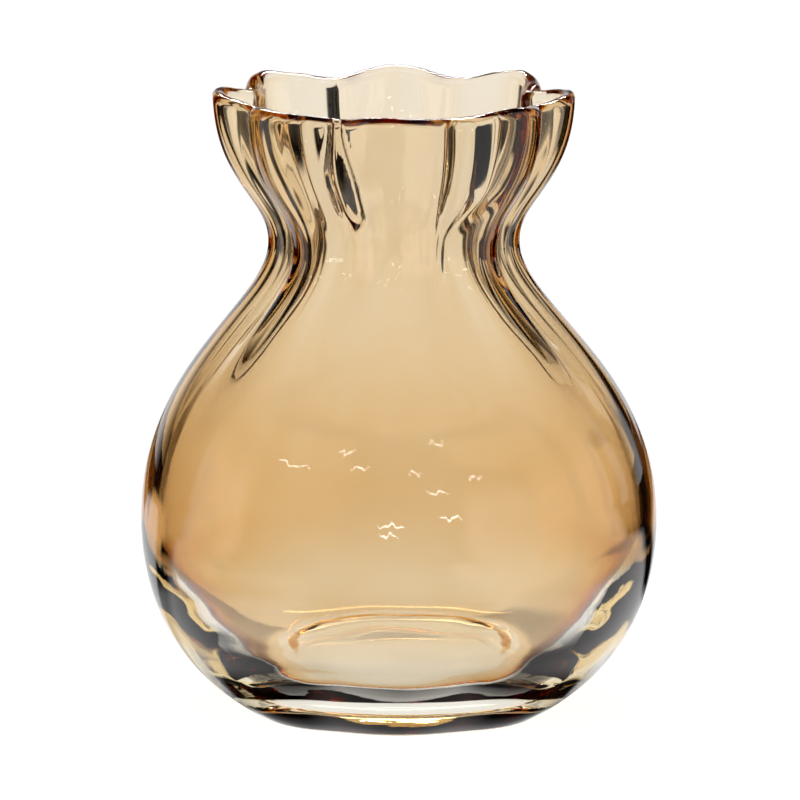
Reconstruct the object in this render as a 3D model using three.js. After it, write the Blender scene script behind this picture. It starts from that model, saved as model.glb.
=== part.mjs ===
// Glass vase shaped like a drawn pouch: round belly, fluted neck and a scalloped rim.
// A thick clear body carries a thin amber layer on its inside.
// Millimetres, +Z up, the origin in the middle of the standing face, the front towards -Y.
import * as THREE from "three";

// Outer outline through the crest of a lobe.
const FOOT_RADIUS = 40.8;
const BELLY_RADIUS = 70.3;
const BELLY_HEIGHT = 52.7;
const NECK_RADIUS = 34.2;
const NECK_HEIGHT = 129;
const RIM_RADIUS = 49.2;
const RIM_HEIGHT = 170;

// Fullness of the outer curves: how far each curve runs on along its end tangent.
const HEEL_SPREAD = 9.2;
const HEEL_RISE = 5.5;
const BELLY_FALL = 32.8;
const BELLY_CLIMB = 42.2;
const NECK_FALL = 17.4;
const NECK_CLIMB = 11.7;
const RIM_FALL = 23.6;
const RIM_FLARE = 0.7;

// Underside: a shallow recess inside the standing ring.
const PUNT_RADIUS = 30;
const PUNT_DEPTH = 0.6;
const PUNT_EDGE = 4;

// Glass thickness.
const BELLY_WALL = 4;
const NECK_WALL = 3.4;
const RIM_WALL = 3;
const LIP_HEIGHT = RIM_HEIGHT - RIM_WALL / 2;
const FLOOR_THICKNESS = 9.5;
const FLOOR_RADIUS = 36;

// Fullness of the inner curves.
const FLOOR_SPREAD = 10;
const INNER_BELLY_FALL = 22;
const INNER_BELLY_CLIMB = 40.5;
const INNER_NECK_FALL = 18.6;
const INNER_NECK_CLIMB = 13.5;
const INNER_RIM_FALL = 21.1;

// Amber layer on the inside wall; the floor stays clear.
const AMBER_THICKNESS = 0.6;
const AMBER_CLEARANCE = 0.3;

// Folds between the eight lobes: where each one stands, in degrees from the front towards +X.
const FOLD_ANGLES = [-23, 23, 68, 112, 154, 205, 250, 294];
// How far the crest of each lobe rises above the plain rim, starting right of the front left fold.
const LOBE_RISE = [0, 0.4, 0, 0.6, 0, 0.4, 0.6, 0.2];
const FOLD_DIP = 2.4;

// Fold depth down the vase.
const RIM_FOLD_DEPTH = 9;
const NECK_FOLD_DEPTH = 5.4;
const BELLY_FOLD_DEPTH = 0.4;
const FOOT_FOLD_DEPTH = 1.4;
const SHOULDER_FADE_HEIGHT = 70;
const FOOT_FADE_HEIGHT = 42;
const OUTER_FOLD_ROUNDING = 0.3;
const INNER_FOLD_ROUNDING = 0.6;
// The inside takes this share of the fold depth, so the glass is thicker beside a fold.
const INNER_FOLD_SHARE = 0.84;

// Sharp groove along the middle of each fold, outside only: half-width as a share of half a lobe,
// and depth as a share of the fold depth.
const GROOVE_WIDTHS = [0.22, 0.3, 0.24, 0.2, 0.12, 0.2, 0.22, 0.24];
const GROOVE_DEPTHS = [0.36, 0.4, 0.32, 0.28, 0.06, 0.32, 0.28, 0.32];
const LOBE_SHARE = 0.6;
const GROOVE_END_HEIGHT = 114;
const GROOVE_FULL_HEIGHT = 140;

// The neck stands a little to one side of the belly.
const NECK_SET_OFF = -1.4;

// Facets.
const STEPS_PER_CURVE = 8;
const STEPS_PER_SIDE = 4;
const STEP_CROWDING = 1.5;

function smooth(low, high, value) {
  return THREE.MathUtils.smoothstep(value, low, high);
}

function foldDepth(height) {
  const shoulder = smooth(SHOULDER_FADE_HEIGHT, NECK_HEIGHT, height);
  const flare = smooth(NECK_HEIGHT, RIM_HEIGHT, height);
  const foot = 1 - smooth(0, FOOT_FADE_HEIGHT, height);
  return (
    BELLY_FOLD_DEPTH +
    (NECK_FOLD_DEPTH - BELLY_FOLD_DEPTH) * shoulder +
    (RIM_FOLD_DEPTH - NECK_FOLD_DEPTH) * flare +
    (FOOT_FOLD_DEPTH - BELLY_FOLD_DEPTH) * foot
  );
}

// Share of the fold depth at one corner: largest in the middle of a fold, 0 on the crest of a lobe.
function foldShare(step, height, inward) {
  const rounding = THREE.MathUtils.lerp(OUTER_FOLD_ROUNDING, INNER_FOLD_ROUNDING, inward);
  const crest = Math.hypot(1, rounding);
  const lobe = ((crest - Math.hypot(step.fromFold, rounding)) / (crest - rounding)) ** 2;
  const grooveDepth = GROOVE_DEPTHS[step.fold] * smooth(GROOVE_END_HEIGHT, GROOVE_FULL_HEIGHT, height);
  const groove = Math.max(0, 1 - step.fromFold / GROOVE_WIDTHS[step.fold]);
  const outside = LOBE_SHARE * lobe + grooveDepth * groove;
  return THREE.MathUtils.lerp(outside, INNER_FOLD_SHARE * lobe, inward);
}

// One entry for each upright row of corners round the vase.
function roundSteps() {
  const steps = [];
  for (let lobe = 0; lobe < FOLD_ANGLES.length; lobe++) {
    const start = FOLD_ANGLES[lobe];
    const end = FOLD_ANGLES[lobe + 1] ?? FOLD_ANGLES[0] + 360;
    for (let step = 0; step < 2 * STEPS_PER_SIDE; step++) {
      const firstHalf = step <= STEPS_PER_SIDE;
      const side = firstHalf ? step : 2 * STEPS_PER_SIDE - step;
      const fromFold = (side / STEPS_PER_SIDE) ** STEP_CROWDING;
      const share = firstHalf ? fromFold / 2 : 1 - fromFold / 2;
      const angle = THREE.MathUtils.degToRad(start + (end - start) * share);
      const fold = firstHalf ? lobe : (lobe + 1) % FOLD_ANGLES.length;
      steps.push({ angle, fromFold, fold, rise: LOBE_RISE[lobe] });
    }
  }
  return steps;
}

// Turns an outline into a closed fluted body. Each outline point is radius, height and
// inward: 0 on the outer skin, 1 on the inner skin.
function flutedBody(outline) {
  const steps = roundSteps();
  const flat = outline.map((point) => new THREE.Vector2(point.x, point.y));
  const geometry = new THREE.LatheGeometry(flat, steps.length);
  const corners = geometry.getAttribute("position");
  for (let index = 0; index < corners.count; index++) {
    const { x: radius, y: height, z: inward } = outline[index % outline.length];
    const step = steps[Math.floor(index / outline.length) % steps.length];
    const fold = foldShare(step, height, inward);
    const nearAxis = Math.min(1, radius / PUNT_RADIUS);
    const reach = radius - foldDepth(height) * fold * nearAxis ** 4;
    const lift = smooth(NECK_HEIGHT, RIM_HEIGHT, height);
    const rise = (step.rise * (1 - fold) - FOLD_DIP * fold) * lift;
    const setOff = NECK_SET_OFF * smooth(BELLY_HEIGHT, NECK_HEIGHT, height);
    corners.setXYZ(
      index,
      reach * Math.sin(step.angle) + setOff,
      -reach * Math.cos(step.angle),
      height + rise,
    );
  }
  geometry.deleteAttribute("normal");
  geometry.deleteAttribute("uv");
  return geometry;
}

function onSkin(path, inward) {
  const points = path.getPoints(STEPS_PER_CURVE);
  return points.map((point) => new THREE.Vector3(point.x, point.y, inward));
}

// Underside and outside, from the axis out and up to the rim.
function outerSkin() {
  const path = new THREE.Path();
  path.moveTo(0, PUNT_DEPTH);
  path.lineTo(PUNT_RADIUS - PUNT_EDGE, PUNT_DEPTH * 0.8);
  path.lineTo(PUNT_RADIUS, 0);
  path.lineTo(FOOT_RADIUS, 0);
  path.bezierCurveTo(
    FOOT_RADIUS + HEEL_SPREAD, HEEL_RISE,
    BELLY_RADIUS, BELLY_HEIGHT - BELLY_FALL,
    BELLY_RADIUS, BELLY_HEIGHT,
  );
  path.bezierCurveTo(
    BELLY_RADIUS, BELLY_HEIGHT + BELLY_CLIMB,
    NECK_RADIUS, NECK_HEIGHT - NECK_FALL,
    NECK_RADIUS, NECK_HEIGHT,
  );
  path.bezierCurveTo(
    NECK_RADIUS, NECK_HEIGHT + NECK_CLIMB,
    RIM_RADIUS - RIM_FLARE, LIP_HEIGHT - RIM_FALL,
    RIM_RADIUS, LIP_HEIGHT,
  );
  return onSkin(path, 0);
}

// Inside wall, from the lip down to the floor; inset moves the whole wall into the hollow.
function innerWall(inset) {
  const belly = BELLY_RADIUS - BELLY_WALL - inset;
  const neck = NECK_RADIUS - NECK_WALL - inset;
  const rim = RIM_RADIUS - RIM_WALL - inset;
  const floor = FLOOR_THICKNESS + inset;
  const path = new THREE.Path();
  path.moveTo(rim, LIP_HEIGHT);
  path.bezierCurveTo(
    rim - RIM_FLARE, LIP_HEIGHT - INNER_RIM_FALL,
    neck, NECK_HEIGHT + INNER_NECK_CLIMB,
    neck, NECK_HEIGHT,
  );
  path.bezierCurveTo(
    neck, NECK_HEIGHT - INNER_NECK_FALL,
    belly, BELLY_HEIGHT + INNER_BELLY_CLIMB,
    belly, BELLY_HEIGHT,
  );
  path.bezierCurveTo(
    belly, BELLY_HEIGHT - INNER_BELLY_FALL,
    FLOOR_RADIUS + FLOOR_SPREAD - inset, floor,
    FLOOR_RADIUS - inset, floor,
  );
  return onSkin(path, 1);
}

// Rounded lip that joins the outer skin to the inner skin.
function rimLip() {
  const half = RIM_WALL / 2;
  const points = [];
  for (const turn of [0.25, 0.5, 0.75]) {
    const angle = Math.PI * turn;
    const radius = RIM_RADIUS - half + half * Math.cos(angle);
    points.push(new THREE.Vector3(radius, LIP_HEIGHT + half * Math.sin(angle), turn));
  }
  return points;
}

function glass(name, geometry, color, opacity) {
  const material = new THREE.MeshStandardMaterial({
    color,
    roughness: 0.05,
    metalness: 0,
    transparent: true,
    opacity,
  });
  const mesh = new THREE.Mesh(geometry, material);
  mesh.name = name;
  return mesh;
}

const floorCentre = new THREE.Vector3(0, FLOOR_THICKNESS, 1);
const bodyOutline = [...outerSkin(), ...rimLip(), ...innerWall(0), floorCentre];
const amberOutside = innerWall(AMBER_CLEARANCE).reverse();
const amberInside = innerWall(AMBER_CLEARANCE + AMBER_THICKNESS);
const amberOutline = [...amberOutside, ...amberInside, amberOutside[0]];

const vase = new THREE.Group();
vase.name = "glass_vase";
vase.add(glass("clear_glass_body", flutedBody(bodyOutline), "#e9ece6", 0.4));
vase.add(glass("amber_inner_layer", flutedBody(amberOutline), "#e0a23c", 0.6));

export default vase;
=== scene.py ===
"""Amber glass vase with a fluted neck: fine glass shapes, glass finishes and a white studio."""
import math

import bpy
import numpy as np
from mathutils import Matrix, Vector, noise


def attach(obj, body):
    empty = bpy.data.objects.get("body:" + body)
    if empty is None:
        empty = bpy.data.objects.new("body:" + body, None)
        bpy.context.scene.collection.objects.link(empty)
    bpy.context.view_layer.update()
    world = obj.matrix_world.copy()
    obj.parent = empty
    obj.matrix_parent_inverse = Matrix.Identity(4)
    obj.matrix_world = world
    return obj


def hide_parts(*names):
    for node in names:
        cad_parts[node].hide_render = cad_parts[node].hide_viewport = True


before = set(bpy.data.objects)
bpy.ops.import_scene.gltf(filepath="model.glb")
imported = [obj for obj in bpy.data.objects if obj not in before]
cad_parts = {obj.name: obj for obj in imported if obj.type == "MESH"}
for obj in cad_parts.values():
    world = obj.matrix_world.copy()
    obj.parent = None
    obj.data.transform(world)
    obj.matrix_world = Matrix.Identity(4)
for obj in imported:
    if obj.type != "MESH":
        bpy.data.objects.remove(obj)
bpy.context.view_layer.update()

bl_info = {
    "name": "Amber Glass Vase",
    "version": (1, 0, 0),
    "blender": (4, 5, 0),
    "location": "View3D > Sidebar > Vase",
    "description": "Builds a pouch-shaped glass vase with an amber layer inside",
    "category": "Add Mesh",
}

# Lengths are metres, +Z is up and the front is towards -Y, unless a comment says otherwise.
BODY_NODE = "clear_glass_body"
AMBER_NODE = "amber_inner_layer"
MM = 0.001
MM_PER_METRE = 1000.0
WHITE = (1.0, 1.0, 1.0, 1.0)

# Fullness of the outer curves: how far each curve runs on along its end tangent.
HEEL_SPREAD = 0.0092
HEEL_RISE = 0.0055
BELLY_FALL = 0.0328
BELLY_CLIMB = 0.0422
NECK_FALL = 0.0174
NECK_CLIMB = 0.0117
RIM_FALL = 0.0236
RIM_FLARE = 0.0007
# The same for the recess underneath, as shares of its radius.
RECESS_FLAT = 0.4
RECESS_SLOPE = 0.7
# Fullness of the inner curves.
FLOOR_SPREAD = 0.01
INNER_BELLY_FALL = 0.022
INNER_BELLY_CLIMB = 0.0405
INNER_NECK_FALL = 0.0186
INNER_NECK_CLIMB = 0.0135
INNER_RIM_FALL = 0.0211
# Rows of facets along each curve.
OUTER_ROWS = {"recess": 8, "foot": 3, "heel": 40, "shoulder": 44, "flare": 32}
INNER_ROWS = {"flare": 28, "shoulder": 36, "belly": 36}
# Columns of facets from a fold to a crest, and how much they crowd towards the fold.
STEPS_PER_SIDE = 24
STEP_CROWDING = 1.3

# Folds between the eight lobes, in degrees from the front towards +X, and the rise of each lobe.
FOLD_ANGLES = (-23.0, 23.0, 68.0, 112.0, 154.0, 205.0, 250.0, 294.0)
LOBE_RISE = (0.0, 0.0004, 0.0, 0.0006, 0.0, 0.0004, 0.0006, 0.0002)
SHOULDER_FADE_HEIGHT = 0.07
FOOT_FADE_HEIGHT = 0.042
OUTER_FOLD_ROUNDING = 0.3
INNER_FOLD_ROUNDING = 0.6
# Share of the fold depth that the plain lobe takes outside and inside.
OUTER_LOBE_SHARE = 0.6
INNER_LOBE_SHARE = 0.84
# Groove along the middle of each side fold: half-width as a share of half a lobe, and depth as a
# share of the fold depth. The folds in front and behind have their own relief instead, and there
# the outside is as even as the inside.
GROOVE_WIDTHS = np.array((0.22, 0.3, 0.24, 0.2, 0.12, 0.2, 0.22, 0.24))
GROOVE_DEPTHS = np.array((0.0, 0.0, 0.32, 0.28, 0.0, 0.0, 0.28, 0.32))
EVEN_FOLDS = np.array((1.0, 1.0, 0.0, 0.0, 1.0, 1.0, 0.0, 0.0))
GROOVE_HEIGHTS = (0.055, 0.135)
GROOVE_SHARPNESS = 1.1

# Relief of single folds: degrees from the front and millimetres outwards, and the heights over
# which it grows to its full size.
RIGHT_RELIEF = ((18.6, 0.0), (20.4, -1.0), (21.6, 1.2), (28.0, 3.3), (36.8, -0.9), (50.0, 0.0))
RIGHT_INSIDE = ((18.6, 0.0), (20.4, 0.5), (21.4, 0.0), (28.0, -1.2), (36.8, 0.8), (50.0, 0.0))
RIGHT_HEIGHTS = (0.118, 0.132)
LEFT_RELIEF = ((-60.0, 0.0), (-38.0, 0.9), (-34.5, -0.5), (-28.0, 0.0))
LEFT_HEIGHTS = (0.128, 0.15)
BACK_RELIEF = ((188.0, 0.0), (203.0, -0.6), (210.5, 2.4), (236.0, 0.0))
BACK_HEIGHTS = (0.125, 0.142)
# The relief of the right fold gathers towards this turn at the neck, to a share of its width.
GATHER_TURN = 23.0
GATHER_HEIGHTS = (0.132, 0.148)
GATHERED_SHARE = 0.3
# The inside answers the relief of the left and back folds the other way, by this share.
INSIDE_ANSWER = 0.6
# Leaf-shaped dent in the left front fold: turns and widths in degrees, depth in millimetres.
DENT_TURN = -22.5
DENT_LEAN = 3.5
DENT_LEAN_HEIGHTS = (0.168, 0.137)
DENT_HALF_WIDTH = 7.8
DENT_NARROWING = 4.6
DENT_NARROWING_HEIGHTS = (0.15, 0.168)
DENT_FOOT_HEIGHT = 0.143
DENT_FOOT_REACH = 0.007
DENT_DEPTH = 1.7
DENT_EDGE = 0.7
# Uneven height of the rim.
RIM_RIPPLE = 0.0006
RIM_RIPPLE_ROUND = 4.0
FINE_RIPPLE_SHARE = 0.6
FINE_RIPPLE_ROUND = 9.0

# Unevenness of hand-worked glass, in millimetres: height and span of its waves.
BROAD_WAVE = 0.16
BROAD_WAVE_MORE_INSIDE = 0.1
BROAD_SPAN = 34.0
FINE_WAVE = 0.035
FINE_SPAN = 11.0
SHOULDER_WAVE = 0.03
SHOULDER_WAVE_SPAN = 30.0
SHOULDER_WAVE_START = (0.08, 0.1)
SHOULDER_WAVE_END = (0.115, 0.14)
CREASE_WAVE = 0.13
CREASE_SPAN = 5.0
CREASE_START = (0.0, 0.012)
CREASE_END = (0.026, 0.05)
LEAST_WAVE = 0.001
# Up to this height the foot is held true.
FOOT_HOLD_HEIGHT = 0.012
# Names that end in ROUND are radii, in cells of noise, of the circle that is read once round the
# vase: the larger, the finer.
STREAKS_ROUND = 9.0
CREASES_ROUND = 2.2

# Low ring of pooled amber on the inner floor. It runs round the back and ends beside the front.
RING_RADIUS = 0.0302
RING_STRAY = 0.0011
RING_STRAY_ROUND = 2.3
RING_FINE_STRAY = 0.0006
RING_FINE_STRAY_ROUND = 7.0
RING_FULLNESS = 0.8
RING_UNEVENNESS = 0.5
RING_UNEVENNESS_ROUND = 4.0
RING_FRONT = (-0.45, 0.0)
RING_END = -0.08
RING_END_SPAN = 0.14
RING_END_FULLNESS = 0.7
LEAST_FULLNESS = 0.01
RING_LIFT = 0.00022
RING_SPREAD = 0.0011
POOL_HALF_WIDTH = 0.0014
POOL_HALF_DEPTH = 0.0006
POOL_ANGLES = np.radians(np.arange(0.0, 360.0, 1.5))
POOL_SECTION = np.radians(np.arange(360.0, 0.0, -36.0))
# Floor radii of the facets: close-set rows this far to each side of the ring, and rows inside it.
RING_ZONE = 0.002
RING_ROWS = 13
FLOOR_RADII = (0.025, 0.02, 0.014, 0.007, 0.0)

# Turns round the lip, from its outside over the top inwards, for the body and for the coat, and
# how far the body's lip has turned from the outer skin, 0, to the inner skin, 1.
BODY_LIP_TURNS = np.linspace(0.0, math.pi, 11)[1:-1]
BODY_LIP_INWARD = np.linspace(0.1, 0.9, len(BODY_LIP_TURNS))
COAT_LIP_TURNS = np.linspace(0.35 * math.pi, 0.85 * math.pi, 6)
# Depths of the coat's two faces under the surface of the lip.
COAT_LIP_DEPTHS = (0.0008, 0.0003)
# Clear glass over the coat towards the hollow.
COAT_COVER = 0.00005
# Low on the wall the coat lies on the glass instead, set off by a little more than its thickness.
LOW_COAT_HEIGHTS = (0.038, 0.048)
LOW_COAT_SET_OFF = 0.0001
# Thickness of the coat as shares of its full thickness, and where it changes.
COAT_RIM = 0.55
COAT_NECK = 0.6
COAT_BELLY = 0.96
COAT_FOOT = 0.15
COAT_FOOT_HEIGHTS = (0.02, 0.05)
COAT_BELOW_NECK = 0.012
LEAST_COAT = 0.02
# Cloudiness of the coat: strength, spans in millimetres, and streaks drawn out above the belly.
CLOUD = 0.09
CLOUD_SPAN = 19.0
FINE_CLOUD_SPAN = 8.0
FINE_CLOUD_SHARE = 0.6
DRAWN_CLOUD = 1.4
DRAWN_CLOUD_SPAN = 45.0
DRAWN_CLOUD_HEIGHTS = (0.06, 0.1)

# How strongly the glasses absorb, per metre.
AMBER_DENSITY = 1450.0
CLEAR_DENSITY = 25.0
GLASS_IOR = 1.5
# Faint waviness and haze of the clear glass; the scales are cells of noise in a metre.
WAVINESS_SCALE = 110.0
WAVINESS_UPRIGHT = 0.3
WAVINESS_STRENGTH = 0.1
WAVINESS_DEPTH = 0.0002
HAZE_SCALE = 40.0
HAZE_LIMITS = (0.45, 0.75)
HAZE_ROUGHNESS = 0.02

# Studio. Turns are degrees from straight behind the vase towards +X, and levels are brightnesses.
DARK = 0.004
# White paths on the floor: turn, half-width as a share of the main path, and reach.
WHITE_PATHS = ((0.0, 1.0, 9.0), (-43.0, 0.32, 0.6))
# Where the edge of a path runs out, as shares of its half-width, and its end as a share of its reach.
PATH_EDGE = (0.9, 1.15)
PATH_END = 0.8
# Half-width of the main path in degrees, by distance from the vase.
PATH_WIDTHS = (
    (0.3, 34.0), (0.45, 25.0), (0.6, 16.0), (0.7, 15.0), (1.05, 15.0), (1.2, 18.0), (1.5, 25.0),
)
# Levels of the floor by turn: in the shade of the foot, close to the vase, on the sheet that it
# stands on, and beyond.
UNDER_LEVELS = (
    (-180, 0.15), (-155, 0.3), (-145, DARK), (-100, DARK), (-85, 0.5), (-44, 0.5), (-28, 1.0),
    (14, 1.0), (24, 0.6), (80, 0.5), (95, DARK), (145, DARK), (155, 0.3), (180, 0.15),
)
NEAR_LEVELS = (
    (-180, DARK), (-150, DARK), (-140, 0.9), (-72, 0.9), (-65, 0.4), (-50, 0.4), (-42, 1.0),
    (140, 0.9), (150, DARK), (180, DARK),
)
SHEET_LEVELS = (
    (-180, DARK), (-110, DARK), (-100, 0.8), (-72, 0.9), (-67, DARK), (-44, DARK), (-40, 0.8),
    (-24, 0.8), (-18, 1.0), (30, 1.0), (35, DARK), (48, DARK), (53, 0.9), (152, 0.8), (160, DARK),
    (180, DARK),
)
BEYOND_LEVELS = (
    (-180, DARK), (-112, DARK), (-106, 1.0), (-76, 1.0), (-71, DARK), (64, DARK), (69, 0.9),
    (145, 0.9), (151, DARK), (180, DARK),
)
# Where each stretch of floor takes over from the one before, as distances from the axis.
FLOOR_STRETCHES = (
    ((0.039, 0.044), UNDER_LEVELS),
    ((0.056, 0.07), NEAR_LEVELS),
    ((0.13, 0.16), SHEET_LEVELS),
    ((0.3, 0.36), BEYOND_LEVELS),
)
# Rings and turns of the floor's mesh, its drop under the foot, and the share of its own shading that the
# camera sees.
STUDIO_RADII = np.concatenate(
    [[0.00001, 0.02], np.arange(0.03, 0.08, 0.0025), np.geomspace(0.08, 6.0, 50)]
)
STUDIO_TURNS = np.radians(np.arange(0.0, 360.0, 2.0))
FLOOR_DROP = 0.0002
FLOOR_SHADOW = 0.15
# Levels of the walls by turn, with dark gaps beside the backdrop, and how they fall off
# with the angle above the vase's middle.
WALL_LEVELS = (
    (-180, DARK), (-112, DARK), (-106, 1.0), (-76, 1.0), (-71, DARK), (-40, DARK),
    (-34, 0.5), (-28, 1.0), (22, 1.0), (25, DARK), (33, DARK), (36, 0.7), (42, 0.7),
    (45, DARK), (53, DARK), (56, 0.6), (60, 0.6), (63, DARK), (67, DARK), (69, 0.9),
    (145, 0.9), (151, DARK), (180, DARK),
)
WALL_RADIUS = 1.5
WALL_HEIGHTS = np.linspace(-0.01, 2.4, 50)
WALL_TURNS = np.radians(np.arange(0.0, 360.0, 1.0))
WALL_FALL = (9.0, 28.0)
WALL_TOP_LEVEL = 0.01
VASE_MIDDLE = 0.08
AMBIENT = 0.95
CEILING_LEVEL = 0.006
GLASS_BOUNCES = 64
TRANSPARENT_BOUNCES = 256

# Soft lamps: name, place, size and power.
LAMPS = (
    ("key_softbox", (-0.9, -0.8, 1.3), 0.9, 14.0),
    ("fill_softbox", (1.1, -0.5, 1.0), 0.9, 7.0),
    ("top_softbox", (0.0, 0.3, 1.6), 1.2, 12.0),
)
# Small painted highlights on the belly, from glowing strips that light nothing: name, turn from the
# front, rise and half-length, in degrees.
HIGHLIGHTS = (
    ("front_left", -52.0, 33.0, 7.0),
    ("left", -22.0, 34.0, 6.0),
    ("front", 9.0, 33.0, 4.0),
    ("right", 40.0, 31.0, 3.5),
    ("low", 24.0, 12.0, 5.0),
    ("high", 29.0, 46.0, 6.0),
    ("middle", 19.0, 24.0, 6.0),
    ("low_left", -5.0, 9.5, 7.0),
    ("lowest", -6.0, 5.5, 5.0),
    ("high_left", -33.0, 41.0, 5.0),
)
HIGHLIGHT_DISTANCE = 0.9
HIGHLIGHT_REACH = (0.0, 0.0, 0.009)
HIGHLIGHT_STRENGTH = 14.0
# The ribbon and card glow but light nothing; they paint highlights low in the glass.
# Bent ribbon and flat card overhead: half-length, place behind the vase, height, reach to each side.
TOP_HALF_LENGTH = 0.6
TOP_BEHIND = 0.75
TOP_BEND = 0.5
TOP_HEIGHT = 1.0
TOP_RIPPLE = 0.02
TOP_REACH = (0.0, 0.09, 0.0)
TOP_STRENGTH = 70.0
CARD_HALF_LENGTH = 0.4
CARD_BEHIND = 0.78
CARD_HEIGHT = 1.25
CARD_REACH = (0.0, 0.2, 0.0)
CARD_STRENGTH = 0.85
# Points along a ribbon, from -1 to 1, and its width at the ends as a share of the middle's.
RIBBON_SHARES = np.linspace(-1.0, 1.0, 25)
RIBBON_ENDS = 0.25

CAMERA_LENS = 578.6
CAMERA_SENSOR = 36.0
CAMERA_TILT = 10.0
CAMERA_DISTANCE = 3.5
CAMERA_AIM = (0.00027, 0.0, 0.0849)


def length(name, description, default):
    return bpy.props.FloatProperty(
        name=name, description=description, default=default, unit="LENGTH", precision=4
    )


def colour(name, description, default):
    return bpy.props.FloatVectorProperty(
        name=name, description=description, default=default, subtype="COLOR", size=3, min=0, max=1
    )


class VaseSizes(bpy.types.PropertyGroup):
    """Sizes of the glass, in metres"""

    foot_radius: length("Foot Radius", "Outer radius of the standing ring", 0.0408)
    belly_radius: length("Belly Radius", "Largest radius of the vase", 0.0703)
    belly_height: length("Belly Height", "Height of the widest ring", 0.0527)
    neck_radius: length("Neck Radius", "Radius of the lobes at the neck", 0.0342)
    neck_height: length("Neck Height", "Height of the narrowest ring", 0.129)
    rim_radius: length("Rim Radius", "Radius of the lobes at the rim", 0.0492)
    rim_height: length("Rim Height", "Height of a plain lobe at the rim", 0.17)
    belly_wall: length("Belly Wall", "Glass thickness on the belly", 0.004)
    neck_wall: length("Neck Wall", "Glass thickness at the neck", 0.0034)
    rim_wall: length("Rim Wall", "Glass thickness at the rim", 0.003)
    floor_thickness: length("Floor Thickness", "Glass under the hollow", 0.0095)
    floor_radius: length("Floor Radius", "Radius of the flat inner floor", 0.036)
    punt_radius: length("Recess Radius", "Radius of the recess underneath", 0.03)
    punt_depth: length("Recess Depth", "Depth of the recess underneath", 0.0006)
    rim_fold: length("Rim Fold Depth", "Depth of the folds at the rim", 0.009)
    neck_fold: length("Neck Fold Depth", "Depth of the folds at the neck", 0.0054)
    belly_fold: length("Belly Fold Depth", "Depth of the folds on the belly", 0.0004)
    foot_fold: length("Foot Fold Depth", "Depth of the folds at the foot", 0.0014)
    fold_dip: length("Fold Dip", "How far the rim dips at a fold", 0.0024)
    neck_set_off: length("Neck Set-off", "How far the neck stands off the belly's axis", -0.0014)
    amber_thickness: length("Amber Thickness", "Thickness of the amber layer on the belly", 0.0006)
    amber_clearance: length("Amber Clearance", "From the plain inner wall to the amber", 0.0003)


class VaseLooks(bpy.types.PropertyGroup):
    """Colours of the glass and the studio"""

    amber: colour("Amber", "Colour that the amber layer lets through", (0.85, 0.58, 0.09))
    clear: colour("Clear Glass", "Tint of thick clear glass", (0.97, 0.9, 0.72))
    floor: colour("Floor", "Colour of the studio floor", (0.9, 0.9, 0.9))


def smooth(low, high, value):
    """Eased share of the way from low to high."""
    share = np.clip((value - low) / (high - low), 0.0, 1.0)
    return share * share * (3.0 - 2.0 * share)


def along(table, values):
    """Straight-line reading of a table of places and amounts."""
    return np.interp(values, *zip(*table))


def bezier(start, start_handle, end_handle, end, count):
    share = np.linspace(0.0, 1.0, count + 1)[:, None]
    rest = 1.0 - share
    return (
        rest**3 * np.array(start)
        + 3 * rest**2 * share * np.array(start_handle)
        + 3 * rest * share**2 * np.array(end_handle)
        + share**3 * np.array(end)
    )


def straight(start, end, count):
    share = np.linspace(0.0, 1.0, count + 1)[:, None]
    return np.array(start) * (1.0 - share) + np.array(end) * share


def joined(*runs):
    """Puts runs of outline points end to end, without the points that two runs share."""
    return np.vstack([runs[0]] + [run[1:] for run in runs[1:]])


def outer_outline(s):
    """Radius and height through the crest of a lobe, from the axis underneath up to the lip."""
    recess_edge = (s.punt_radius, 0.0)
    foot = (s.foot_radius, 0.0)
    belly = (s.belly_radius, s.belly_height)
    neck = (s.neck_radius, s.neck_height)
    lip = (s.rim_radius, s.rim_height - s.rim_wall / 2)
    return joined(
        bezier(
            (0.0, s.punt_depth), (RECESS_FLAT * s.punt_radius, s.punt_depth),
            (RECESS_SLOPE * s.punt_radius, 0.0), recess_edge, OUTER_ROWS["recess"],
        ),
        straight(recess_edge, foot, OUTER_ROWS["foot"]),
        bezier(
            foot, (foot[0] + HEEL_SPREAD, HEEL_RISE),
            (belly[0], belly[1] - BELLY_FALL), belly, OUTER_ROWS["heel"],
        ),
        bezier(
            belly, (belly[0], belly[1] + BELLY_CLIMB),
            (neck[0], neck[1] - NECK_FALL), neck, OUTER_ROWS["shoulder"],
        ),
        bezier(
            neck, (neck[0], neck[1] + NECK_CLIMB),
            (lip[0] - RIM_FLARE, lip[1] - RIM_FALL), lip, OUTER_ROWS["flare"],
        ),
    )


def lip_outline(s, turns, depth):
    """Radius and height round the lip, at a depth under its surface."""
    half = s.rim_wall / 2
    radius = s.rim_radius - half + (half - depth) * np.cos(turns)
    return np.column_stack([radius, s.rim_height - half + (half - depth) * np.sin(turns)])


def inner_wall(s, inset):
    """Radius and height of the inside wall, from the lip down to the floor."""
    lip = (s.rim_radius - s.rim_wall - inset, s.rim_height - s.rim_wall / 2)
    neck = (s.neck_radius - s.neck_wall - inset, s.neck_height)
    belly = (s.belly_radius - s.belly_wall - inset, s.belly_height)
    corner = (s.floor_radius - inset, s.floor_thickness + inset)
    return joined(
        bezier(
            lip, (lip[0] - RIM_FLARE, lip[1] - INNER_RIM_FALL),
            (neck[0], neck[1] + INNER_NECK_CLIMB), neck, INNER_ROWS["flare"],
        ),
        bezier(
            neck, (neck[0], neck[1] - INNER_NECK_FALL),
            (belly[0], belly[1] + INNER_BELLY_CLIMB), belly, INNER_ROWS["shoulder"],
        ),
        bezier(
            belly, (belly[0], belly[1] - INNER_BELLY_FALL),
            (corner[0] + FLOOR_SPREAD, corner[1]), corner, INNER_ROWS["belly"],
        ),
    )


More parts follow.
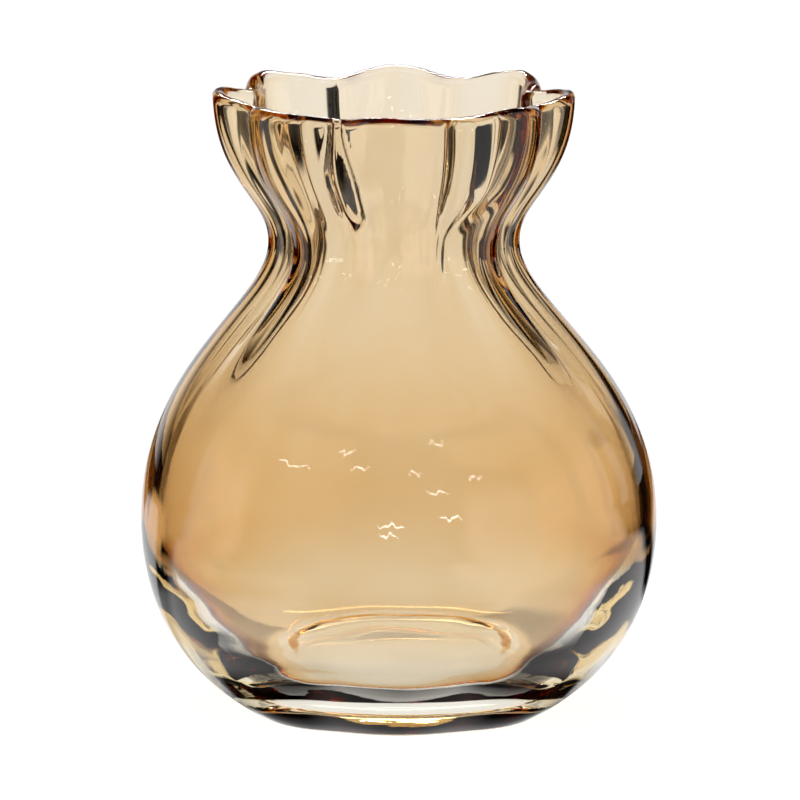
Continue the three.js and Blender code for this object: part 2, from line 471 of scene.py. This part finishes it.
def floor_outline(corner):
    """Radius and height of the inner floor, from its corner to the axis, close-set at the ring."""
    outside = RING_RADIUS + RING_ZONE
    inside = RING_RADIUS - RING_ZONE
    close_set = np.linspace(outside, inside, RING_ROWS)
    radii = [corner[0], 0.5 * (corner[0] + outside), *close_set, *FLOOR_RADII]
    return np.column_stack([radii, np.full(len(radii), corner[1])])


def ring_wander(angle):
    """How far the floor ring strays from a true circle, and how full it is, at an angle."""
    place = Vector((math.sin(angle), math.cos(angle), 0.0))
    stray = RING_STRAY * noise.noise(place * RING_STRAY_ROUND)
    stray += RING_FINE_STRAY * noise.noise(place * RING_FINE_STRAY_ROUND)
    uneven = noise.noise(place * RING_UNEVENNESS_ROUND + Vector((2.0, 0.0, 0.0)))
    ends = math.exp(-(((place.y - RING_END) / RING_END_SPAN) ** 2))
    full = (RING_FULLNESS + RING_UNEVENNESS * uneven) * smooth(*RING_FRONT, place.y)
    full *= 1.0 + RING_END_FULLNESS * ends
    return stray, float(max(full, LEAST_FULLNESS))


def raise_floor_ring(points, first_row):
    """Lifts the rows of the inner floor into the low ring of pooled glass."""
    for row in range(first_row, len(points) - 1):
        for column in range(points.shape[1]):
            x, y, z = points[row, column]
            stray, full = ring_wander(math.atan2(x, y))
            off = (math.hypot(x, y) - RING_RADIUS - stray) / RING_SPREAD
            points[row, column, 2] = z + RING_LIFT * full * math.exp(-off * off)


def round_steps():
    """Angle, share of the way from a fold to a crest, fold and lobe rise of each upright row."""
    angles, from_fold, folds, rises = [], [], [], []
    count = len(FOLD_ANGLES)
    for lobe, start in enumerate(FOLD_ANGLES):
        end = FOLD_ANGLES[lobe + 1] if lobe + 1 < count else FOLD_ANGLES[0] + 360.0
        for step in range(2 * STEPS_PER_SIDE):
            first_half = step <= STEPS_PER_SIDE
            side = min(step, 2 * STEPS_PER_SIDE - step)
            near = (side / STEPS_PER_SIDE) ** STEP_CROWDING
            share = near / 2 if first_half else 1.0 - near / 2
            angles.append(math.radians(start + (end - start) * share))
            from_fold.append(near)
            folds.append(lobe if first_half else (lobe + 1) % count)
            rises.append(LOBE_RISE[lobe])
    return np.array(angles), np.array(from_fold), np.array(folds), np.array(rises)


def fold_depth(s, height):
    return (
        s.belly_fold
        + (s.neck_fold - s.belly_fold) * smooth(SHOULDER_FADE_HEIGHT, s.neck_height, height)
        + (s.rim_fold - s.neck_fold) * smooth(s.neck_height, s.rim_height, height)
        + (s.foot_fold - s.belly_fold) * (1.0 - smooth(0.0, FOOT_FADE_HEIGHT, height))
    )


def fold_share(from_fold, folds, height, inward):
    """Share of the fold depth at each point: most in the middle of a fold, nothing on a crest."""
    even = np.maximum(inward, EVEN_FOLDS[folds])
    rounding = OUTER_FOLD_ROUNDING + (INNER_FOLD_ROUNDING - OUTER_FOLD_ROUNDING) * even
    crest = np.hypot(1.0, rounding)
    lobe = ((crest - np.hypot(from_fold, rounding)) / (crest - rounding)) ** 2
    groove = np.clip(1.0 - from_fold / GROOVE_WIDTHS[folds], 0.0, 1.0) ** GROOVE_SHARPNESS
    groove = GROOVE_DEPTHS[folds] * smooth(*GROOVE_HEIGHTS, height) * groove
    outside = OUTER_LOBE_SHARE * lobe + groove
    return outside + (INNER_LOBE_SHARE * lobe - outside) * even


def leaf_dent(turn, height):
    """Depth of the leaf-shaped dent at each turn and height, in millimetres."""
    middle = DENT_TURN + DENT_LEAN * smooth(*DENT_LEAN_HEIGHTS, height)
    half = DENT_HALF_WIDTH - DENT_NARROWING * smooth(*DENT_NARROWING_HEIGHTS, height)
    below = np.clip(DENT_FOOT_HEIGHT - height, 0.0, None) / DENT_FOOT_REACH
    off = ((turn - middle) / half) ** 2 + below**2
    return DENT_DEPTH * smooth(0.0, DENT_EDGE, 1.0 - off)


def relief(angles, height, inward):
    """Steps and dents along the folds in front and behind, as metres outwards."""
    turn = np.degrees(angles)
    turn = np.where(turn > 270.0, turn - 360.0, turn)
    gather = GATHERED_SHARE + (1.0 - GATHERED_SHARE) * smooth(*GATHER_HEIGHTS, height)
    gathered = GATHER_TURN + (turn - GATHER_TURN) / gather
    ending = smooth(*RIGHT_HEIGHTS, height) * gather
    left = along(LEFT_RELIEF, turn) * smooth(*LEFT_HEIGHTS, height)
    back = along(BACK_RELIEF, turn) * smooth(*BACK_HEIGHTS, height)
    others = left + back - leaf_dent(turn, height)
    outside = along(RIGHT_RELIEF, gathered) * ending + others
    inside = along(RIGHT_INSIDE, gathered) * ending - INSIDE_ANSWER * others
    return (outside + (inside - outside) * inward) * MM


def rim_ripple(angles):
    """Small uneven rises and falls along the rim, in metres."""
    ripple = []
    for angle in angles:
        x, y = math.sin(angle), math.cos(angle)
        broad = noise.noise(Vector((RIM_RIPPLE_ROUND * x, RIM_RIPPLE_ROUND * y, 0.7)))
        fine = noise.noise(Vector((FINE_RIPPLE_ROUND * x, FINE_RIPPLE_ROUND * y, 5.1)))
        ripple.append(broad + FINE_RIPPLE_SHARE * fine)
    return RIM_RIPPLE * np.array(ripple)


def fluted_points(s, outline, inward):
    """Points of a fluted skin, as rows along the outline and columns round the vase."""
    angles, from_fold, folds, rises = round_steps()
    radius = outline[:, :1]
    height = outline[:, 1:]
    fold = fold_share(from_fold[None, :], folds[None, :], height, inward[:, None])
    near_axis = np.minimum(1.0, radius / s.punt_radius) ** 4
    reach = radius - fold_depth(s, height) * fold * near_axis
    reach = reach + relief(angles[None, :], height, inward[:, None])
    lift = smooth(s.neck_height, s.rim_height, height)
    rise = (rises[None, :] * (1.0 - fold) - s.fold_dip * fold + rim_ripple(angles)[None, :]) * lift
    set_off = s.neck_set_off * smooth(s.belly_height, s.neck_height, height)
    x = reach * np.sin(angles)[None, :] + set_off
    y = -reach * np.cos(angles)[None, :]
    return np.stack([x, y, height + rise], axis=2)


def in_millimetres(point):
    """A point in millimetres, and its turn as a direction from the axis."""
    place = Vector(point) * MM_PER_METRE
    return place, Vector((place.x, place.y, 0.0)).normalized()


def waves(points, outline, inward):
    """Hand-blown unevenness: how far each point moves along its own radius."""
    rows, columns, _ = points.shape
    steps = np.hypot(*np.diff(outline, axis=0).T)
    run = np.concatenate([[0.0], np.cumsum(steps)]) * MM_PER_METRE
    height = outline[:, 1]
    shoulder = smooth(*SHOULDER_WAVE_START, height) * (1.0 - smooth(*SHOULDER_WAVE_END, height))
    shoulder = shoulder * SHOULDER_WAVE
    crease = (1.0 - smooth(*CREASE_END, height)) * smooth(*CREASE_START, height)
    crease = crease * CREASE_WAVE * inward
    out = np.zeros((rows, columns))
    for row in range(rows):
        shift = 7.0 * inward[row]
        for column in range(columns):
            place, turn = in_millimetres(points[row, column])
            broad = noise.noise(place / BROAD_SPAN + Vector((shift, 3.1, 1.7)))
            fine = noise.noise(place / FINE_SPAN + Vector((5.3, shift, 8.2)))
            bend = (BROAD_WAVE + BROAD_WAVE_MORE_INSIDE * inward[row]) * broad + FINE_WAVE * fine
            if shoulder[row] > LEAST_WAVE:
                offset = Vector((0.0, shift, place.z / SHOULDER_WAVE_SPAN))
                bend += shoulder[row] * noise.noise(turn * STREAKS_ROUND + offset)
            if crease[row] > LEAST_WAVE:
                offset = Vector((1.3, 4.0, run[row] / CREASE_SPAN))
                bend += crease[row] * noise.noise(turn * CREASES_ROUND + offset)
            out[row, column] = bend
    return out * MM


def displaced(s, points, amount):
    """Points moved outwards by an amount that fades out on the inner floor and at the foot."""
    radius = np.hypot(points[:, :, 0], points[:, :, 1])[:, :, None]
    hold = np.minimum(1.0, radius / s.floor_radius) ** 2
    hold *= smooth(0.0, FOOT_HOLD_HEIGHT, points[:, :, 2:3])
    direction = points.copy()
    direction[:, :, 2] = 0.0
    direction /= np.maximum(radius, 1e-6)
    return points + direction * amount[:, :, None] * hold


def band(low, high, columns):
    """Faces between two rings of points, from the number of each ring's first point."""
    return [
        (low + column, low + (column + 1) % columns, high + (column + 1) % columns, high + column)
        for column in range(columns)
    ]


def mesh_object(name, verts, faces, collection):
    mesh = bpy.data.meshes.new(name)
    mesh.from_pydata([tuple(vert) for vert in verts], [], faces)
    mesh.validate()
    mesh.polygons.foreach_set("use_smooth", np.ones(len(mesh.polygons), dtype=bool))
    mesh.update()
    obj = bpy.data.objects.new(name, mesh)
    collection.objects.link(obj)
    return obj


def skin_object(name, points, collection):
    """Closed mesh from rows of points; the first and last row are on the axis."""
    rows, columns, _ = points.shape
    rings = points[1:-1].reshape(-1, 3)
    verts = [points[0].mean(axis=0), *rings, points[-1].mean(axis=0)]
    first_ring = 1
    last_ring = first_ring + (rows - 3) * columns
    faces = []
    for column in range(columns):
        after = (column + 1) % columns
        faces.append((0, first_ring + after, first_ring + column))
        faces.append((last_ring + column, last_ring + after, len(verts) - 1))
    for low in range(first_ring, last_ring, columns):
        faces += band(low, low + columns, columns)
    return mesh_object(name, verts, faces, collection)


def ring_object(name, points, collection):
    """Closed mesh from rows of points that run once round the section of a tube."""
    rows, columns, _ = points.shape
    faces = []
    for row in range(rows):
        faces += band(row * columns, (row + 1) % rows * columns, columns)
    return mesh_object(name, points.reshape(-1, 3), faces, collection)


def coat_share(s, height):
    """Thickness of the amber coat down the vase, as a share of its full thickness."""
    flare = smooth(s.neck_height, s.rim_height, height)
    top = COAT_RIM + (COAT_NECK - COAT_RIM) * (1.0 - flare)
    shoulder = smooth(s.belly_height, s.neck_height - COAT_BELOW_NECK, height)
    wall = COAT_BELLY + (top - COAT_BELLY) * shoulder
    return wall * (COAT_FOOT + (1.0 - COAT_FOOT) * smooth(*COAT_FOOT_HEIGHTS, height))


def new_material(name):
    material = bpy.data.materials.new(name)
    material.use_nodes = True
    tree = material.node_tree
    tree.nodes.clear()
    output = tree.nodes.new("ShaderNodeOutputMaterial")
    return material, tree, output


def add_node(tree, kind, values):
    """Adds a node and sets the inputs that are named."""
    node = tree.nodes.new(kind)
    for name, value in values.items():
        node.inputs[name].default_value = value
    return node


def math_node(tree, operation, first, second):
    """Adds a math node; each side is a socket or a number."""
    node = tree.nodes.new("ShaderNodeMath")
    node.operation = operation
    for index, value in enumerate((first, second)):
        if isinstance(value, (int, float)):
            node.inputs[index].default_value = value
        else:
            tree.links.new(value, node.inputs[index])
    return node.outputs[0]


def map_range(tree, value, low, high, to_low, to_high):
    limits = {"From Min": low, "From Max": high, "To Min": to_low, "To Max": to_high}
    node = add_node(tree, "ShaderNodeMapRange", limits)
    node.interpolation_type = "SMOOTHSTEP"
    tree.links.new(value, node.inputs["Value"])
    return node.outputs["Result"]


def mixed(tree, share, first, second):
    """Mixes two shaders: none of the second where the share is 0, and it alone where it is 1."""
    mix = tree.nodes.new("ShaderNodeMixShader")
    tree.links.new(share, mix.inputs["Fac"])
    tree.links.new(first.outputs[0], mix.inputs[1])
    tree.links.new(second.outputs[0], mix.inputs[2])
    return mix.outputs["Shader"]


def streaks(tree, scale, upright):
    """Noise in the glass, drawn out along the height where upright is below 1."""
    coords = tree.nodes.new("ShaderNodeTexCoord")
    mapping = add_node(tree, "ShaderNodeMapping", {"Scale": (scale, scale, scale * upright)})
    texture = add_node(tree, "ShaderNodeTexNoise", {"Scale": 1.0, "Detail": 3.0})
    tree.links.new(coords.outputs["Object"], mapping.inputs["Vector"])
    tree.links.new(mapping.outputs["Vector"], texture.inputs["Vector"])
    return texture.outputs["Fac"]


def absorbing(tree, output, tint, density):
    """Fills a material's volume with glass that absorbs all but its tint."""
    absorb = add_node(
        tree, "ShaderNodeVolumeAbsorption", {"Color": (*tint, 1.0), "Density": density}
    )
    tree.links.new(absorb.outputs["Volume"], output.inputs["Volume"])


def clear_glass(looks):
    """Clear glass with a faint waviness and haze, which lets light straight through to the floor."""
    material, tree, output = new_material("clear_glass")
    glass = {"Base Color": WHITE, "IOR": GLASS_IOR, "Transmission Weight": 1.0}
    shader = add_node(tree, "ShaderNodeBsdfPrincipled", glass)
    waviness = {"Strength": WAVINESS_STRENGTH, "Distance": WAVINESS_DEPTH}
    bump = add_node(tree, "ShaderNodeBump", waviness)
    tree.links.new(streaks(tree, WAVINESS_SCALE, WAVINESS_UPRIGHT), bump.inputs["Height"])
    tree.links.new(bump.outputs["Normal"], shader.inputs["Normal"])
    patches = streaks(tree, HAZE_SCALE, 1.0)
    haze = map_range(tree, patches, *HAZE_LIMITS, 0.0, HAZE_ROUGHNESS)
    tree.links.new(haze, shader.inputs["Roughness"])
    path = tree.nodes.new("ShaderNodeLightPath")
    passing = tree.nodes.new("ShaderNodeBsdfTransparent")
    surface = mixed(tree, path.outputs["Is Shadow Ray"], shader, passing)
    tree.links.new(surface, output.inputs["Surface"])
    absorbing(tree, output, looks.clear, CLEAR_DENSITY)
    return material


def amber_glass(looks):
    material, tree, output = new_material("amber_glass")
    passing = tree.nodes.new("ShaderNodeBsdfTransparent")
    tree.links.new(passing.outputs["BSDF"], output.inputs["Surface"])
    absorbing(tree, output, looks.amber, AMBER_DENSITY)
    return material


class VASE_OT_clear_body(bpy.types.Operator):
    """Make the clear glass body with its folds, lip and thick base"""

    bl_idname = "vase.clear_body"
    bl_label = "Clear Glass Body"

    def execute(self, context):
        s = context.scene.vase_sizes
        outer = outer_outline(s)
        lip = lip_outline(s, BODY_LIP_TURNS, 0.0)
        wall = inner_wall(s, s.amber_clearance + s.amber_thickness + COAT_COVER)
        inner = joined(wall, floor_outline(wall[-1]))
        outline = np.vstack([outer, lip, inner])
        inward = np.concatenate([np.zeros(len(outer)), BODY_LIP_INWARD, np.ones(len(inner))])
        points = fluted_points(s, outline, inward)
        points = displaced(s, points, waves(points, outline, inward))
        raise_floor_ring(points, len(outer) + len(lip) + len(wall) - 1)
        body = skin_object("clear_glass_body_fine", points, context.scene.collection)
        body.data.materials.append(clear_glass(context.scene.vase_looks))
        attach(body, "root")
        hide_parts(BODY_NODE)
        return {"FINISHED"}


class VASE_OT_amber_layer(bpy.types.Operator):
    """Make the amber layer just under the inner surface, and the amber pooled on the floor"""

    bl_idname = "vase.amber_layer"
    bl_label = "Amber Inner Layer"

    def execute(self, context):
        s = context.scene.vase_sizes
        near = self.face(s, COAT_LIP_DEPTHS[0], s.amber_clearance)
        far = self.face(s, COAT_LIP_DEPTHS[1], s.amber_clearance + s.amber_thickness)
        on_wall = np.ones(len(far) - len(COAT_LIP_TURNS))
        inward = np.concatenate([COAT_LIP_TURNS / math.pi, on_wall])
        far_points = fluted_points(s, far, inward)
        moved = waves(far_points, far, inward)
        inside = displaced(s, far_points, moved)
        outside = displaced(s, fluted_points(s, near, inward), moved)
        outside = inside + (outside - inside) * self.thickness(s, far, inside)
        points = np.vstack([outside[::-1], inside])
        amber = ring_object("amber_inner_layer_fine", points, context.scene.collection)
        pool = ring_object("amber_pool", self.pool_points(s), context.scene.collection)
        amber.data.materials.append(amber_glass(context.scene.vase_looks))
        pool.data.materials.append(amber.data.materials[0])
        for piece in (amber, pool):
            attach(piece, "root")
        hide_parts(AMBER_NODE)
        return {"FINISHED"}

    def face(self, s, lip_depth, inset):
        """Outline of one face of the coat: under the glass at the lip and wall, on it low down."""
        under = inner_wall(s, inset)
        on = inner_wall(s, inset + s.amber_thickness + LOW_COAT_SET_OFF)
        wall = on + (under - on) * smooth(*LOW_COAT_HEIGHTS, under[:, 1:])
        return np.vstack([lip_outline(s, COAT_LIP_TURNS, lip_depth), wall])

    def thickness(self, s, outline, points):
        """Share of the full thickness at each point, with the cloudy look of a hand-laid coat."""
        share = np.repeat(coat_share(s, outline[:, 1:]), points.shape[1], axis=1)
        drawn = DRAWN_CLOUD * smooth(*DRAWN_CLOUD_HEIGHTS, outline[:, 1])
        for row in range(points.shape[0]):
            for column in range(points.shape[1]):
                place, turn = in_millimetres(points[row, column])
                fine = noise.noise(place / FINE_CLOUD_SPAN + Vector((4.0, 2.0, 9.0)))
                offset = Vector((0.0, 0.0, place.z / DRAWN_CLOUD_SPAN))
                cloud = noise.noise(place / CLOUD_SPAN) + FINE_CLOUD_SHARE * fine
                cloud += drawn[row] * noise.noise(turn * STREAKS_ROUND + offset)
                share[row, column] *= 1.0 + CLOUD * cloud
        return np.clip(share, LEAST_COAT, 1.0)[:, :, None]

    def pool_points(self, s):
        """Rows round the section of the pooled ring, just under the inner floor."""
        top = s.floor_thickness + s.amber_clearance + s.amber_thickness
        points = np.zeros((len(POOL_SECTION), len(POOL_ANGLES), 3))
        for column, angle in enumerate(POOL_ANGLES):
            stray, full = ring_wander(angle)
            half = POOL_HALF_WIDTH * math.sqrt(full)
            radius = RING_RADIUS + stray + half * np.cos(POOL_SECTION)
            points[:, column, 0] = radius * math.sin(angle)
            points[:, column, 1] = radius * math.cos(angle)
            points[:, column, 2] = top - POOL_HALF_DEPTH * full * (1.0 - np.sin(POOL_SECTION))
        return points


def seen_share(tree):
    """Light path, and 1 for rays that show a surface to the camera, straight or through glass."""
    path = tree.nodes.new("ShaderNodeLightPath")
    camera = path.outputs["Is Camera Ray"]
    seen = math_node(tree, "MAXIMUM", camera, path.outputs["Is Glossy Ray"])
    return path, math_node(tree, "MAXIMUM", seen, path.outputs["Is Transmission Ray"])


def point_level(tree, name):
    """Reads a level that is kept with the points of a mesh."""
    attribute = tree.nodes.new("ShaderNodeAttribute")
    attribute.attribute_name = name
    return attribute.outputs["Fac"]


def degrees_off(turns, turn):
    """Degrees between each turn, in radians, and a given one in degrees."""
    return np.abs((np.degrees(turns) - turn + 180.0) % 360.0 - 180.0)


def levels_at(table, turns):
    return along(table, (np.degrees(turns) + 180.0) % 360.0 - 180.0)


def round_mesh(name, turns, rings):
    """Open sheet round the axis from rings of radius and height."""
    around = len(turns)
    verts = [(r * math.sin(turn), r * math.cos(turn), z) for r, z in rings for turn in turns]
    faces = []
    for row in range(len(rings) - 1):
        faces += band(row * around, (row + 1) * around, around)
    mesh = bpy.data.meshes.new(name)
    mesh.from_pydata(verts, [], faces)
    return mesh


def point_values(mesh, name, values):
    attribute = mesh.attributes.new(name, "FLOAT", "POINT")
    attribute.data.foreach_set("value", np.asarray(values, dtype=float).ravel())


def only_in_glass(obj, through):
    """Shows a stage object as a mirror image on the glass and, if through, behind it too."""
    obj.visible_camera = False
    obj.visible_diffuse = False
    obj.visible_transmission = through
    obj.visible_shadow = False


class VASE_OT_stage(bpy.types.Operator):
    """Set the white floor, the surroundings, the lamps and the camera"""

    bl_idname = "vase.stage"
    bl_label = "Studio"

    def execute(self, context):
        scene = context.scene
        self.make_floor(scene)
        self.make_surroundings(scene)
        self.make_walls(scene)
        self.make_lamps(scene)
        self.make_highlights(scene)
        self.make_camera(scene)
        scene.view_settings.view_transform = "Standard"
        scene.cycles.max_bounces = GLASS_BOUNCES
        scene.cycles.transmission_bounces = GLASS_BOUNCES
        scene.cycles.glossy_bounces = GLASS_BOUNCES
        scene.cycles.transparent_max_bounces = TRANSPARENT_BOUNCES
        return {"FINISHED"}

    def make_floor(self, scene):
        """White floor for the camera; the glass shows it with its darker stretches."""
        rings = [(radius, 0.0) for radius in STUDIO_RADII]
        mesh = round_mesh("studio_floor", STUDIO_TURNS, rings)
        glow = self.floor_glow(STUDIO_TURNS[None, :], STUDIO_RADII[:, None])
        point_values(mesh, "glow", glow)
        floor = bpy.data.objects.new("studio_floor", mesh)
        floor.location.z = -FLOOR_DROP
        scene.collection.objects.link(floor)
        material, tree, output = new_material("studio_floor")
        tint = (*scene.vase_looks.floor, 1.0)
        paper = add_node(tree, "ShaderNodeBsdfDiffuse", {"Color": tint})
        light = add_node(tree, "ShaderNodeEmission", {"Strength": 1.0})
        path, seen = seen_share(tree)
        camera = path.outputs["Is Camera Ray"]
        level = math_node(tree, "MAXIMUM", point_level(tree, "glow"), camera)
        tree.links.new(level, light.inputs["Color"])
        shadow = math_node(tree, "MULTIPLY", camera, FLOOR_SHADOW)
        surface = mixed(tree, math_node(tree, "SUBTRACT", seen, shadow), paper, light)
        tree.links.new(surface, output.inputs["Surface"])
        mesh.materials.append(material)

    def floor_glow(self, turns, radii):
        """How bright the floor shows in the glass: a white sheet with white paths behind the vase."""
        glow = before = 1.0
        for edge, table in FLOOR_STRETCHES:
            level = levels_at(table, turns)
            glow = glow + (level - before) * smooth(*edge, radii)
            before = level
        width = along(PATH_WIDTHS, radii)
        for turn, share, reach in WHITE_PATHS:
            half = share * width
            beside = smooth(PATH_EDGE[0] * half, PATH_EDGE[1] * half, degrees_off(turns, turn))
            ended = smooth(PATH_END * reach, reach, radii)
            glow = np.maximum(glow, (1.0 - beside) * (1.0 - ended))
        return glow

    def make_surroundings(self, scene):
        """White background for the camera, near-black overhead for the glass, and soft light."""
        world = bpy.data.worlds.new("studio")
        scene.world = world
        world.use_nodes = True
        tree = world.node_tree
        tree.nodes.clear()
        output = tree.nodes.new("ShaderNodeOutputWorld")
        soft = {"Color": WHITE, "Strength": AMBIENT}
        ambient = add_node(tree, "ShaderNodeBackground", soft)
        shown = add_node(tree, "ShaderNodeBackground", {"Strength": 1.0})
        path, seen = seen_share(tree)
        level = map_range(tree, path.outputs["Is Camera Ray"], 0.0, 1.0, CEILING_LEVEL, 1.0)
        tree.links.new(level, shown.inputs["Color"])
        tree.links.new(mixed(tree, seen, ambient, shown), output.inputs["Surface"])

    def make_walls(self, scene):
        """Studio walls round the vase, white behind it and dark beside, that only the glass shows."""
        rings = [(WALL_RADIUS, height) for height in WALL_HEIGHTS]
        mesh = round_mesh("studio_walls", WALL_TURNS, rings)
        rise = np.degrees(np.arctan2(WALL_HEIGHTS - VASE_MIDDLE, WALL_RADIUS))[:, None]
        falling = WALL_TOP_LEVEL + (1.0 - WALL_TOP_LEVEL) * (1.0 - smooth(*WALL_FALL, rise))
        point_values(mesh, "level", levels_at(WALL_LEVELS, WALL_TURNS)[None, :] * falling)
        material, tree, output = new_material("studio_walls")
        light = add_node(tree, "ShaderNodeEmission", {"Strength": 1.0})
        tree.links.new(point_level(tree, "level"), light.inputs["Color"])
        tree.links.new(light.outputs["Emission"], output.inputs["Surface"])
        mesh.materials.append(material)
        walls = bpy.data.objects.new("studio_walls", mesh)
        only_in_glass(walls, True)
        scene.collection.objects.link(walls)

    def make_lamps(self, scene):
        """Soft lamps for what isn't glass; the glass doesn't show them."""
        for name, place, size, power in LAMPS:
            lamp = bpy.data.lights.new(name, "AREA")
            lamp.size = size
            lamp.energy = power
            obj = bpy.data.objects.new(name, lamp)
            obj.location = place
            aim = Vector((0.0, 0.0, VASE_MIDDLE)) - Vector(place)
            obj.rotation_euler = aim.to_track_quat("-Z", "Y").to_euler()
            obj.visible_glossy = False
            obj.visible_transmission = False
            scene.collection.objects.link(obj)

    def make_highlights(self, scene):
        """Glowing ribbon and card overhead that paint highlights low in the glass, and small painted
        highlights on the belly.
        """
        share = RIBBON_SHARES
        even = np.ones(len(share))
        top_height = TOP_HEIGHT + TOP_RIPPLE * np.sin(9.0 * share)
        top = [TOP_HALF_LENGTH * share, TOP_BEHIND + TOP_BEND * share**2, top_height]
        card = [CARD_HALF_LENGTH * share, CARD_BEHIND * even, CARD_HEIGHT * even]
        self.ribbon(scene, "top", top, TOP_REACH, TOP_STRENGTH, True)
        self.ribbon(scene, "card", card, CARD_REACH, CARD_STRENGTH, True)
        for name, turn, rise, half in HIGHLIGHTS:
            turns = np.radians(turn + half * share)
            rises = rise + 0.8 * np.sin(5.0 * share + turn) + 0.5 * np.sin(11.0 * share)
            run = np.array([np.sin(turns), -np.cos(turns), np.tan(np.radians(rises))])
            run = run * HIGHLIGHT_DISTANCE
            self.ribbon(scene, name, run, HIGHLIGHT_REACH, HIGHLIGHT_STRENGTH, False)

    def ribbon(self, scene, name, run, reach, strength, through):
        """Flat glowing ribbon along a run of x, y and z, with its reach to each side."""
        material, tree, output = new_material(f"bright_ribbon_{name}")
        light = add_node(tree, "ShaderNodeEmission", {"Strength": strength})
        tree.links.new(light.outputs["Emission"], output.inputs["Surface"])
        middle = np.column_stack(run)
        count = len(middle)
        swell = np.sin(np.linspace(0.0, math.pi, count))[:, None]
        side = np.array(reach) * (RIBBON_ENDS + (1.0 - RIBBON_ENDS) * swell)
        verts = np.vstack([middle - side, middle + side])
        faces = [(step, step + 1, count + step + 1, count + step) for step in range(count - 1)]
        mesh = bpy.data.meshes.new("bright_ribbon")
        mesh.from_pydata([tuple(vert) for vert in verts], [], faces)
        mesh.materials.append(material)
        ribbon = bpy.data.objects.new(f"bright_ribbon_{name}", mesh)
        only_in_glass(ribbon, through)
        scene.collection.objects.link(ribbon)

    def make_camera(self, scene):
        camera = bpy.data.cameras.new("photo_camera")
        camera.sensor_width = CAMERA_SENSOR
        camera.lens = CAMERA_LENS
        obj = bpy.data.objects.new("photo_camera", camera)
        tilt = math.radians(CAMERA_TILT)
        away = Vector((0.0, -math.cos(tilt), math.sin(tilt))) * CAMERA_DISTANCE
        obj.location = Vector(CAMERA_AIM) + away
        obj.rotation_euler = (-away).to_track_quat("-Z", "Y").to_euler()
        scene.collection.objects.link(obj)
        scene.camera = obj


class VASE_PT_panel(bpy.types.Panel):
    """Sizes, colours and steps of the vase"""

    bl_idname = "VASE_PT_panel"
    bl_label = "Glass Vase"
    bl_space_type = "VIEW_3D"
    bl_region_type = "UI"
    bl_category = "Vase"

    def draw(self, context):
        layout = self.layout
        for group in (context.scene.vase_sizes, context.scene.vase_looks):
            box = layout.box()
            for name in type(group).__annotations__:
                box.prop(group, name)
        for operator in OPERATORS:
            layout.operator(operator.bl_idname)


OPERATORS = (VASE_OT_clear_body, VASE_OT_amber_layer, VASE_OT_stage)
CLASSES = (VaseSizes, VaseLooks, *OPERATORS, VASE_PT_panel)


def register():
    for cls in CLASSES:
        bpy.utils.register_class(cls)
    bpy.types.Scene.vase_sizes = bpy.props.PointerProperty(type=VaseSizes)
    bpy.types.Scene.vase_looks = bpy.props.PointerProperty(type=VaseLooks)


def unregister():
    del bpy.types.Scene.vase_looks
    del bpy.types.Scene.vase_sizes
    for cls in reversed(CLASSES):
        bpy.utils.unregister_class(cls)


def main():
    register()
    bpy.ops.vase.clear_body()
    bpy.ops.vase.amber_layer()
    bpy.ops.vase.stage()


if __name__ == "__main__":
    main()
